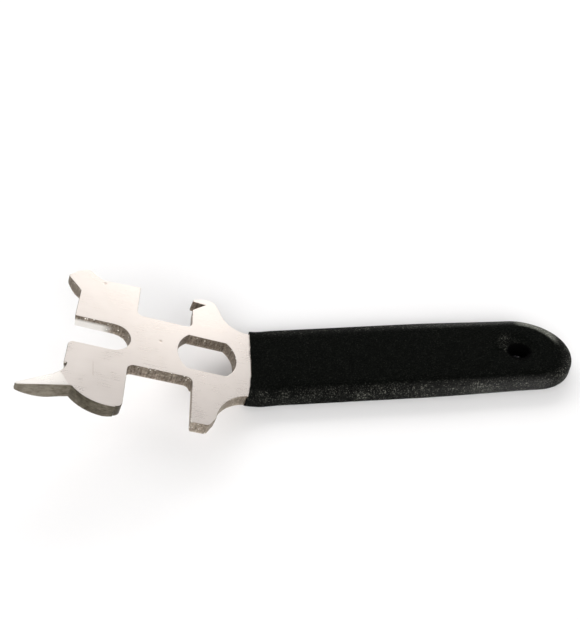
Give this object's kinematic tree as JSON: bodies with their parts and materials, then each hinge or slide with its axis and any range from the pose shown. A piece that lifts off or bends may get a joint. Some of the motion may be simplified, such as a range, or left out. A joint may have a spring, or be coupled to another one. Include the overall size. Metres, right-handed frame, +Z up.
{
  "type": "manual can and bottle opener",
  "caption": "Flat steel opener bent up from a black dipped grip, with a can spike, rocker edge, claw, bottle hook, open slot, edge notches, a flat-sided hole and a hanging hole.",
  "frame": {"origin": "centre of the bounding box in X and Y, at the underside of the grip it lies on", "axes": "+X along the grip towards the hanging hole, +Y towards the edge with the claw and the hook, +Z up"},
  "size_m": [0.1624, 0.0532, 0.0294],
  "materials": {
    "steel_plate": "satin brushed faces, sheared edges",
    "grip": "matt, finely grained"
  },
  "bodies": {
    "root": {"steel_plate": "steel_plate", "grip": "grip"}
  },
  "joints": []
}
